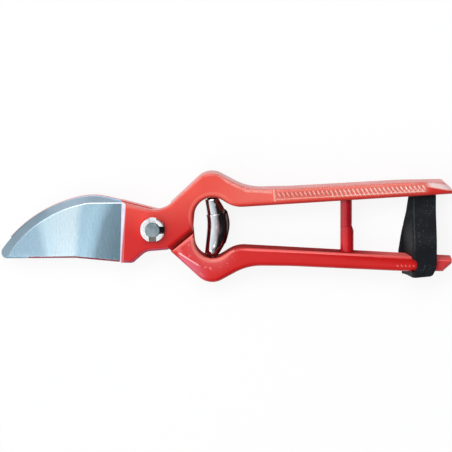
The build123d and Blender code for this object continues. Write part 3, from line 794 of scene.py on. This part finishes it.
def slot_shadow(tree, colour):
    """Painted shadow in the nut's slots: black in the one towards the grips, brown in the lower one."""
    x, y, z = axes_of(tree)
    deep = fall(tree, z, NUT_SLOT_FLOOR_Z + 0.6, NUT_SLOT_FLOOR_Z + 1.4)
    black, brown = (0.01, 0.01, 0.012), (0.22, 0.19, 0.17)
    for along, across, way, shadow_tint in ((x, y, 1.0, black), (y, x, -1.0, brown)):
        out = rise(tree, product(tree, along, way), *NUT_SLOT_START)
        within = fall(tree, unsigned(tree, across), *NUT_SLOT_SIDE)
        colour = paint(tree, product(tree, deep, out, within), colour, shadow_tint)
    return colour


def turned_steel(name, dark, light, low, high, slotted=False):
    """Lathe-turned steel: rings about the pivot axis over a mottled tone."""
    made, tree, shader = new_material(name)
    sources = {"Vector": object_place(tree), "Scale": 900.0, "Distortion": 1.5}
    rings = node(tree, "ShaderNodeTexWave", sources, wave_type="RINGS", rings_direction="Z")
    clouds = noise(tree, 260.0, 4.0)
    tint = mottle(tree, clouds, dark, light)
    # The nut gets painted shadow in its slots
    if slotted:
        tint = slot_shadow(tree, tint)
    bump = relief(tree, rings.outputs["Fac"], 0.012 * MM)
    metal_coat(tree, shader, tint, spread(tree, clouds, 0.25, 0.75, low, high), bump)
    return made


# Strap and table
def black_strap():
    """Matt black moulded tab with a fine grain, pale dust specks and a painted highlight along its fold.
    """
    made, tree, shader = new_material("black_strap")
    grain = noise(tree, 1400.0, 3.0)
    clouds = noise(tree, 120.0, 3.0)
    dust = noise(tree, 1500.0, 1.0)
    x, y, _ = axes_of(tree)
    speck = product(tree, rise(tree, dust, 0.62, 0.7, 0.42), rise(tree, clouds, 0.45, 0.6))
    colour = mottle(tree, clouds, (0.004, 0.005, 0.007), (0.007, 0.009, 0.012))
    colour = paint(tree, speck, colour, (0.13, 0.16, 0.21))
    # Painted highlight along the strap's fold
    off = unsigned(tree, minus(tree, x, STRAP_TWIST_X + STRAP_TWIST_HALF))
    crease = product(tree, fall(tree, off, 0.1, 0.35, 0.6), rise(tree, y, *STRAP_CREASE_START_Y))
    colour = paint(tree, crease, colour, (0.05, 0.053, 0.058))
    bump = relief(tree, grain, 0.05 * MM, 0.6)
    coat(tree, shader, colour, spread(tree, grain, 0.2, 0.8, 0.45, 0.65), bump)
    feed(tree, shader, {"Specular IOR Level": 0.14})
    return made


def white_table():
    """Matt table, white when seen or mirrored, that takes the shadow and bounces little light."""
    made, tree, shader = new_material("white_table")
    clouds = noise(tree, 8.0, 2.0)
    ray = node(tree, "ShaderNodeLightPath")
    seen = calculate(tree, "MAXIMUM", ray.outputs["Is Camera Ray"], ray.outputs["Is Glossy Ray"])
    seen = calculate(tree, "MAXIMUM", seen, ray.outputs["Is Transmission Ray"])
    white = mottle(tree, clouds, (0.92, 0.92, 0.92), (0.94, 0.94, 0.94))
    colour = blend_colours(tree, seen, (0.4, 0.4, 0.4, 1.0), white)
    feed(tree, shader, {"Base Color": colour, "Roughness": 0.9, "Specular IOR Level": 0.1})
    glow = node(tree, "ShaderNodeEmission", {"Strength": 1.0}).outputs[0]
    sources = {0: product(tree, seen, 0.88), 1: shader.outputs[0], 2: glow}
    mix = node(tree, "ShaderNodeMixShader", sources)
    output = next(n for n in tree.nodes if n.type == "OUTPUT_MATERIAL")
    tree.links.new(mix.outputs[0], output.inputs["Surface"])
    return made


ENAMEL = red_enamel()
POST_ENAMEL = post_enamel()
SPINE_SHADE_ENAMEL = rim_enamel()
# Lower arm's walls towards the grip gap: rough and dull, darker red as painted shade, with a painted
# pale reflection towards the tail
SHADED_WALL_ENAMEL = edge_enamel(
    "wall_enamel", (0.40, 0.016, 0.016), (0.48, 0.022, 0.020), 0.7, 0.06, WALL_REFLECTION_X
)
# Upper arm's walls facing +Y: glossy, in the lighter painted-light tone of the upper handle
OUTER_WALL = edge_enamel("outer_wall_enamel", (0.82, 0.075, 0.055), (0.88, 0.095, 0.072), 0.2, 0.5)
# Rims of the lower arm facing +Y round the window and at the tail: painted highlight
PALE_RIM = edge_enamel("pale_rim_enamel", (0.82, 0.15, 0.12), (0.88, 0.21, 0.17), 0.25, 0.3)
# Lug rims of the upper arm facing -Y: painted mauve reflection
MAUVE_RIM = edge_enamel("mauve_rim_enamel", (0.52, 0.05, 0.09), (0.62, 0.09, 0.14), 0.25, 0.3)
STROKE_HIGHLIGHT_ENAMEL = stroke_highlight_enamel()
GROUND = ground_steel()
HONED = honed_steel()
RIDGE = ridge_steel()
SHOULDER = shoulder_lacquer()
BRIGHT = bright_steel()
NUT_STEEL = turned_steel("nut_steel", (0.92, 0.92, 0.94), (0.99, 0.99, 1.0), 0.16, 0.3, slotted=True)
BOLT_STEEL = turned_steel("bolt_steel", (0.17, 0.22, 0.25), (0.36, 0.42, 0.45), 0.35, 0.5)
PEG_STEEL = turned_steel("peg_steel", (0.16, 0.05, 0.05), (0.24, 0.08, 0.08), 0.4, 0.55)
STRAP_BLACK = black_strap()
TABLE_WHITE = white_table()

FRONT_FINISHES = [ENAMEL, OUTER_WALL, MAUVE_RIM, SPINE_SHADE_ENAMEL, GROUND, HONED, SHOULDER, RIDGE]
REAR_FINISHES = [ENAMEL, SHADED_WALL_ENAMEL, PALE_RIM, HONED]
BARE_FINISHES = [GROUND, HONED, RIDGE, SHOULDER]


# Helpers for pieces
def add_object(name, data):
    made = bpy.data.objects.new(name, data)
    bpy.context.scene.collection.objects.link(made)
    return made


def add_piece(name, mesh, *materials):
    for material in materials:
        mesh.materials.append(material)
    return add_object(name, mesh)


def smooth_faces(mesh, angle_deg):
    mesh.polygons.foreach_set("use_smooth", [True] * len(mesh.polygons))
    mesh.set_sharp_from_angle(angle=math.radians(angle_deg))


def result_mesh(piece):
    """Mesh that a piece has after its modifiers."""
    graph = bpy.context.evaluated_depsgraph_get()
    return bpy.data.meshes.new_from_object(piece.evaluated_get(graph))


# Arms
def merged_copy(node_name):
    """Copy of a CAD piece's mesh with its loose triangles joined, cut where the blade's rim changes."""
    work = bmesh.new()
    work.from_mesh(nodes[node_name].data)
    bmesh.ops.remove_doubles(work, verts=work.verts, dist=JOIN_GAP)
    whole = work.verts[:] + work.edges[:] + work.faces[:]
    cut = {"plane_co": (SPINE_RIM_START_X, 0.0, 0.0), "plane_no": (1.0, 0.0, 0.0)}
    bmesh.ops.bisect_plane(work, geom=whole, dist=CUT_GAP, **cut)
    mesh = bpy.data.meshes.new(node_name + "_finished")
    work.to_mesh(mesh)
    work.free()
    mesh.materials.clear()
    return mesh


def shoulder_x(y):
    """X of the grind's end at a height across the blade."""
    share = (y - SHOULDER_FOOT.y) / (SHOULDER_TOP.y - SHOULDER_FOOT.y)
    return SHOULDER_FOOT.x + (SHOULDER_TOP.x - SHOULDER_FOOT.x) * share


def is_upper_wall(normal):
    """Whether a face stands upright and looks towards +Y."""
    return abs(normal.z) < WALL_Z and normal.y > 0.0


def is_rim(normal):
    """Whether a face belongs to a rounded rim on the front side."""
    return WALL_Z < normal.z < RIM_Z


def front_arm_finish(centre, normal):
    """Which of FRONT_FINISHES a face of the front arm has."""
    if normal.z < -FLAT_Z and abs(centre.z - LUG_BACK_Z) < ON_FACE:
        return HONED
    if centre.x > shoulder_x(centre.y) + SHOULDER_RUN:
        # Walls facing +Y get the lighter painted-light tone
        if is_upper_wall(normal):
            return OUTER_WALL
        # Rims of the lug facing -Y get the painted mauve reflection
        lug_rim = is_rim(normal) and normal.y < -RIM_Y and centre.x < LUG_RIM_END_X
        return MAUVE_RIM if lug_rim else ENAMEL
    if normal.x < -SHOULDER_X and centre.x > shoulder_x(centre.y) - SHOULDER_EDGE:
        return SHOULDER
    if normal.y < -SPINE_Y:
        # Painted shade on the spine's rim, bare steel nearer the tip
        return SPINE_SHADE_ENAMEL if centre.x > SPINE_RIM_START_X else GROUND
    return GROUND if normal.z > GROUND_Z else HONED


def rear_arm_finish(centre, normal):
    """Which of REAR_FINISHES a face of the rear arm has."""
    # Walls towards the grip gap get the painted shade
    if WALL_START_X < centre.x < TAIL_RIM_START_X and is_upper_wall(normal):
        return SHADED_WALL_ENAMEL
    if centre.x > HOOK_END_X:
        # Rims facing +Y near the window and at the tail get the painted highlight
        highlight_mask = RIM_START_X < centre.x < RIM_END_X or centre.x > TAIL_RIM_START_X
        return PALE_RIM if is_rim(normal) and normal.y > RIM_Y and highlight_mask else ENAMEL
    shear_face = normal.z > FLAT_Z and abs(centre.z - HOOK_FRONT_Z) < ON_FACE
    inside_hook = normal.y < -HOOK_Y or normal.x < -HOOK_X
    return HONED if shear_face or inside_hook else ENAMEL


def finished_mesh(node_name, finish_of, finishes):
    """Mesh of an arm with a finish on each face."""
    mesh = merged_copy(node_name)
    for material in finishes:
        mesh.materials.append(material)
    for face in mesh.polygons:
        face.material_index = finishes.index(finish_of(face.center, face.normal))
    return mesh


def sharpen_finish_lines(mesh, bare):
    """Makes the edges sharp where a bare steel finish meets another one."""
    sides = {}
    for face in mesh.polygons:
        for key in face.edge_keys:
            sides.setdefault(key, set()).add(face.material_index)
    for edge in mesh.edges:
        if len(sides[edge.key]) > 1 and sides[edge.key] & bare:
            edge.use_edge_sharp = True


def front_edges(work, suits):
    """Edges whose faces all look to the front, and whose set of finishes suits."""
    return [
        edge
        for edge in work.edges
        if suits({face.material_index for face in edge.link_faces})
        and min(face.normal.z for face in edge.link_faces) > RIDGE_Z
    ]


def honed_ridge(mesh, face_finish, bevel_finish, ridge_finish):
    """Small bright facet along the edge between the ground face and the cutting bevel."""
    work = bmesh.new()
    work.from_mesh(mesh)
    between = {face_finish, bevel_finish}
    inner = front_edges(work, lambda found: found <= between)
    bmesh.ops.dissolve_limit(
        work,
        angle_limit=math.radians(RIDGE_MERGE_DEG),
        verts=list({vert for edge in inner for vert in edge.verts}),
        edges=inner,
        delimit={"MATERIAL"},
    )
    bmesh.ops.bevel(
        work,
        geom=front_edges(work, lambda found: found == between),
        offset=RIDGE_WIDTH,
        segments=1,
        affect="EDGES",
        material=ridge_finish,
        clamp_overlap=False,
    )
    work.to_mesh(mesh)
    work.free()


def arm_piece(node_name, body, mesh, finishes):
    piece = add_piece(node_name + "_finished", mesh)
    smooth_faces(mesh, ARM_SHARP_DEG)
    sharpen_finish_lines(mesh, {i for i, finish in enumerate(finishes) if finish in BARE_FINISHES})
    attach(piece, body)
    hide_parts(node_name)
    return piece


# Spring and strap
def curve_through(stations, place):
    """Value at a place on a smooth curve through stations of place and value, with no overshoot."""
    places = [station[0] for station in stations]
    values = [station[1] for station in stations]
    if place <= places[0]:
        return values[0]
    if place >= places[-1]:
        return values[-1]
    slopes = [
        (values[i + 1] - values[i]) / (places[i + 1] - places[i]) for i in range(len(stations) - 1)
    ]
    tangents = [slopes[0]]
    for before, after in zip(slopes, slopes[1:]):
        same_way = before * after > 0.0
        tangents.append(2.0 * before * after / (before + after) if same_way else 0.0)
    tangents.append(slopes[-1])
    i = max(k for k in range(len(slopes)) if places[k] <= place)
    run = places[i + 1] - places[i]
    t = (place - places[i]) / run
    return (
        values[i] * (1.0 + 2.0 * t) * (1.0 - t) ** 2
        + tangents[i] * run * t * (1.0 - t) ** 2
        + values[i + 1] * t * t * (3.0 - 2.0 * t)
        + tangents[i + 1] * run * t * t * (t - 1.0)
    )


def within_one(value):
    return min(1.0, max(0.0, value))


def smooth_step(value, low, high):
    t = within_one((value - low) / (high - low))
    return t * t * (3.0 - 2.0 * t)


def sheet_mesh(name, rows, columns, point_at):
    """Sheet of quads, with its points in millimetres from a row and a column share."""
    points = [
        Vector(point_at(row / rows, column / columns)) * MM
        for row in range(rows + 1)
        for column in range(columns + 1)
    ]
    faces = [
        (start, start + columns + 1, start + columns + 2, start + 1)
        for row in range(rows)
        for start in range(row * (columns + 1), row * (columns + 1) + columns)
    ]
    mesh = bpy.data.meshes.new(name)
    mesh.from_pydata(points, [], faces)
    return mesh


def give_thickness(piece, thickness, offset, edge_round):
    """Turns a sheet into a plate with rounded rims, in millimetres."""
    wall = piece.modifiers.new("wall", "SOLIDIFY")
    wall.thickness = thickness * MM
    wall.offset = offset
    rim = piece.modifiers.new("rim", "BEVEL")
    rim.width = edge_round * MM
    rim.segments = 2
    rim.limit_method = "ANGLE"
    rim.angle_limit = math.radians(SHEET_RIM_DEG)
    plate = result_mesh(piece)
    piece.modifiers.clear()
    piece.data = plate
    smooth_faces(plate, SHEET_SHARP_DEG)


def strip_point(along, across):
    """Point of the spring's strip: along its winding, and across from its lower edge."""
    first, last = STRIP_LOW_EDGE[0][0], STRIP_LOW_EDGE[-1][0]
    angle = first + (last - first) * along
    low = curve_through(STRIP_LOW_EDGE, angle)
    high = curve_through(STRIP_HIGH_EDGE, angle)
    y = low + (high - low) * across
    turns_inside = max(0.0, (angle - 180.0) / 360.0, -angle / 360.0)
    radius = curve_through(SPRING_RADII, y) - STRIP_LAYER_STEP * turns_inside
    x = curve_through(SPRING_MIDDLES, y) - radius * math.cos(math.radians(angle))
    z = SHEAR_Z / MM + radius * math.sin(math.radians(angle))
    return x, y, z


def wound_spring():
    """Volute spring of one strip: its widest half turn faces front, narrower turns nest inside."""
    mesh = sheet_mesh("wound_spring", *STRIP_GRID, strip_point)
    piece = add_piece("wound_spring", mesh, BRIGHT)
    give_thickness(piece, STRIP_THICKNESS, -1.0, STRIP_EDGE_ROUND)
    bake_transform(piece)
    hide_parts("volute_spring")


def strap_side(x):
    """Which side of the lower tail the strap passes: -1 at the back, 1 in front, folded between."""
    share = (x - STRAP_TWIST_X + STRAP_TWIST_HALF) / (2.0 * STRAP_TWIST_HALF)
    return 2.0 * within_one(share) ** STRAP_FOLD_EASE - 1.0


def strap_point(down, across):
    """Point of the strap's middle sheet: flat in the upper tail, parted round the lower one."""
    bottom = STRAP_BOTTOM_Y - STRAP_LEFT_DROP * (1.0 - across)
    y = STRAP_TOP_Y + (bottom - STRAP_TOP_Y) * down
    left = curve_through(STRAP_LEFT_EDGE, y)
    corner_wide, corner_high = STRAP_CORNER
    past = within_one(1.0 - (y - STRAP_BOTTOM_Y) / corner_high)
    right = STRAP_RIGHT_X - corner_wide * (1.0 - math.sqrt(1.0 - past * past))
    x = left + (right - left) * across
    parted = 1.0 - smooth_step(y, STRAP_CROSSED_Y, STRAP_FLAT_Y)
    return x, y, SHEAR_Z / MM + STRAP_STAND * parted * strap_side(x)


def hole_reach(point):
    """How far out a point lies from the hole's middle, where 1 is the hole's oval rim."""
    out_x = (point.x / MM - STRAP_HOLE_MIDDLE[0]) / STRAP_HOLE_HALF[0]
    out_y = (point.y / MM - STRAP_HOLE_MIDDLE[1]) / STRAP_HOLE_HALF[1]
    return math.hypot(out_x, out_y)


def cut_strap_hole(mesh):
    """Oval hole: takes the faces inside it away and draws the rim's points onto the oval."""
    work = bmesh.new()
    work.from_mesh(mesh)
    inside = [face for face in work.faces if hole_reach(face.calc_center_median()) < 1.0]
    bmesh.ops.delete(work, geom=inside, context="FACES")
    rim = [v for v in work.verts if v.is_boundary and hole_reach(v.co) < STRAP_HOLE_RIM_REACH]
    for v in rim:
        reach = hole_reach(v.co)
        x = STRAP_HOLE_MIDDLE[0] + (v.co.x / MM - STRAP_HOLE_MIDDLE[0]) / reach
        y = STRAP_HOLE_MIDDLE[1] + (v.co.y / MM - STRAP_HOLE_MIDDLE[1]) / reach
        v.co = Vector((x * MM, y * MM, SHEAR_Z + STRAP_STAND * strap_side(x) * MM))
    work.to_mesh(mesh)
    work.free()


def lock_tab():
    """Strap that stays in the upper tail's slot and bends below it."""
    mesh = sheet_mesh("lock_tab", *STRAP_GRID, strap_point)
    cut_strap_hole(mesh)
    piece = add_piece("lock_tab", mesh, STRAP_BLACK)
    give_thickness(piece, STRAP_THICKNESS, 0.0, STRAP_EDGE_ROUND)
    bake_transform(piece)
    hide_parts("lock_strap")


# Grip strokes
def stroke_tree():
    """Geometry nodes that lay a row of short raised strokes on the front of an arm."""
    tree = bpy.data.node_groups.new("grip_strokes", "GeometryNodeTree")
    kinds = {
        "Arm": "NodeSocketObject",
        "Start": "NodeSocketVector",
        "End": "NodeSocketVector",
        "Pitch": "NodeSocketFloat",
        "Half Size": "NodeSocketVector",
        "Turn": "NodeSocketVector",
        "Finish": "NodeSocketMaterial",
    }
    for name, kind in kinds.items():
        tree.interface.new_socket(name=name, in_out="INPUT", socket_type=kind)
    tree.interface.new_socket(name="Geometry", in_out="OUTPUT", socket_type="NodeSocketGeometry")
    given = node(tree, "NodeGroupInput").outputs
    ends = {"Start": given["Start"], "End": given["End"]}
    line = node(tree, "GeometryNodeCurvePrimitiveLine", ends)
    steps = {"Curve": line.outputs[0], "Length": given["Pitch"]}
    row = node(tree, "GeometryNodeCurveToPoints", steps, mode="LENGTH")
    arm = node(tree, "GeometryNodeObjectInfo", {"Object": given["Arm"]})
    ray = {
        "Target Geometry": arm.outputs["Geometry"],
        "Ray Direction": (0.0, 0.0, -1.0),
        "Ray Length": GRIP_TOP_Z * MM,
    }
    drop = node(tree, "GeometryNodeRaycast", ray)
    bead = node(tree, "GeometryNodeMeshUVSphere", {"Segments": BEAD_SEGMENTS, "Rings": BEAD_RINGS})
    shape = {"Geometry": bead.outputs["Mesh"], "Scale": given["Half Size"]}
    stroke = node(tree, "GeometryNodeTransform", shape)
    spin = node(tree, "FunctionNodeEulerToRotation", {0: given["Turn"]})
    lean = {"Rotation": spin.outputs[0], "Vector": drop.outputs["Hit Normal"]}
    upright = node(tree, "FunctionNodeAlignRotationToVector", lean, axis="Z")
    copies = {
        "Points": row.outputs["Points"],
        "Selection": drop.outputs["Is Hit"],
        "Instance": stroke.outputs["Geometry"],
        "Rotation": upright.outputs[0],
    }
    placed = node(tree, "GeometryNodeInstanceOnPoints", copies)
    spots = {"Geometry": placed.outputs["Instances"], "Position": drop.outputs["Hit Position"]}
    laid = node(tree, "GeometryNodeSetPosition", spots)
    whole = node(tree, "GeometryNodeRealizeInstances", {"Geometry": laid.outputs["Geometry"]})
    finish = {"Geometry": whole.outputs["Geometry"], "Material": given["Finish"]}
    coated = node(tree, "GeometryNodeSetMaterial", finish)
    node(tree, "NodeGroupOutput", {"Geometry": coated.outputs["Geometry"]})
    return tree


STROKE_TREE = stroke_tree()


def stroke_row(arm, start, end, pitch, size, turn_deg):
    """Mesh of one row of strokes on an arm, with sizes in millimetres."""
    holder = add_piece("stroke_row", bpy.data.meshes.new("stroke_row"))
    rows = holder.modifiers.new("rows", "NODES")
    rows.node_group = STROKE_TREE
    values = {
        "Arm": arm,
        "Start": Vector((*start, GRIP_TOP_Z)) * MM,
        "End": Vector((*end, GRIP_TOP_Z)) * MM,
        "Pitch": pitch * MM,
        "Half Size": Vector(size) * MM / 2.0,
        "Turn": Vector((0.0, 0.0, math.radians(turn_deg))),
        "Finish": STROKE_HIGHLIGHT_ENAMEL,
    }
    for socket in STROKE_TREE.interface.items_tree:
        if socket.in_out == "INPUT":
            rows[socket.identifier] = values[socket.name]
    mesh = result_mesh(holder)
    bpy.data.objects.remove(holder)
    return mesh


def raised_strokes(name, arm, body, rows):
    """One piece of all the stroke rows on an arm."""
    work = bmesh.new()
    for row in rows:
        work.from_mesh(stroke_row(arm, *row))
    mesh = bpy.data.meshes.new(name)
    work.to_mesh(mesh)
    work.free()
    piece = add_piece(name, mesh, STROKE_HIGHLIGHT_ENAMEL)
    smooth_faces(mesh, STROKE_SHARP_DEG)
    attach(piece, body)


def refinish(material, *names):
    """New finish on CAD pieces that keep their shape."""
    for name in names:
        nodes[name].data.materials.clear()
        nodes[name].data.materials.append(material)


# Pieces of the shears
front_mesh = finished_mesh("front_arm", front_arm_finish, FRONT_FINISHES)
honed_ridge(front_mesh, *(FRONT_FINISHES.index(finish) for finish in (GROUND, HONED, RIDGE)))
front_arm = arm_piece("front_arm", "upper_handle", front_mesh, FRONT_FINISHES)
rear_mesh = finished_mesh("rear_arm", rear_arm_finish, REAR_FINISHES)
rear_arm = arm_piece("rear_arm", "lower_handle", rear_mesh, REAR_FINISHES)
wound_spring()
lock_tab()
raised_strokes("upper_grip_strokes", front_arm, "upper_handle", UPPER_ROWS)
raised_strokes("lower_grip_strokes", rear_arm, "lower_handle", LOWER_ROWS)
refinish(POST_ENAMEL, "upper_stop_post", "lower_stop_post")
refinish(NUT_STEEL, "pivot_nut")
refinish(BOLT_STEEL, "pivot_bolt", "tension_washer", "strap_pin")
refinish(PEG_STEEL, "upper_spring_peg", "lower_spring_peg")


# Table, lights and camera
def white_floor():
    work = bmesh.new()
    bmesh.ops.create_grid(work, x_segments=1, y_segments=1, size=FLOOR_HALF)
    mesh = bpy.data.meshes.new("table_top")
    work.to_mesh(mesh)
    work.free()
    floor = add_piece("table_top", mesh, TABLE_WHITE)


def area_light(name, direction_deg, distance, size, watts):
    """Soft panel aimed at the shears: lean towards -X and towards +Y from overhead."""
    lean_x, lean_y = (math.tan(math.radians(d)) for d in direction_deg)
    away = Vector((-lean_x, lean_y, 1.0)).normalized()
    lamp = bpy.data.lights.new(name, "AREA")
    lamp.shape = "RECTANGLE"
    lamp.size, lamp.size_y = size
    lamp.energy = watts
    holder = add_object(name, lamp)
    holder.location = CAMERA_AIM + away * distance
    holder.rotation_mode = "QUATERNION"
    holder.rotation_quaternion = away.to_track_quat("Z", "Y")


def soft_world():
    """Studio room: bright beyond the blade's tip, dark beyond the tails and the lower handle."""
    world = bpy.data.worlds.new("soft_room")
    world.use_nodes = True
    tree = world.node_tree
    place = node(tree, "ShaderNodeTexCoord").outputs["Generated"]
    way = node(tree, "ShaderNodeSeparateXYZ", {0: place})
    along = product(tree, plus(tree, way.outputs["X"], 1.0), 0.5)
    level = tones(tree, along, [(place, (grey, grey, grey)) for place, grey in ROOM_LEVELS])
    above = spread(tree, way.outputs["Y"], 0.3, 1.0, ROOM_STRENGTH, ROOM_STRENGTH * 0.6)
    below = spread(tree, way.outputs["Y"], -0.9, -0.3, 0.3, 1.0)
    level = product(tree, level, product(tree, above, below))
    seen = node(tree, "ShaderNodeLightPath").outputs["Is Camera Ray"]
    strength = calculate(tree, "MAXIMUM", level, seen)
    feed(tree, tree.nodes["Background"], {"Color": ROOM_TINT, "Strength": strength})
    bpy.context.scene.world = world


def photo_camera():
    lens = bpy.data.cameras.new("photo_camera")
    lens.sensor_width = CAMERA_SENSOR_MM
    lens.lens = CAMERA_SENSOR_MM * CAMERA_DISTANCE / FRAME_WIDTH
    camera = add_object("photo_camera", lens)
    lean = math.radians(CAMERA_LEAN_DEG)
    away = Vector((0.0, math.sin(lean), math.cos(lean)))
    camera.location = CAMERA_AIM + away * CAMERA_DISTANCE
    roll = Matrix.Rotation(math.radians(CAMERA_ROLL_DEG), 3, "Z")
    camera.rotation_euler = (Matrix.Rotation(-lean, 3, "X") @ roll).to_euler()
    bpy.context.scene.camera = camera


white_floor()
for light in LIGHTS:
    area_light(*light)
soft_world()
photo_camera()
bpy.context.scene.view_settings.view_transform = "Standard"
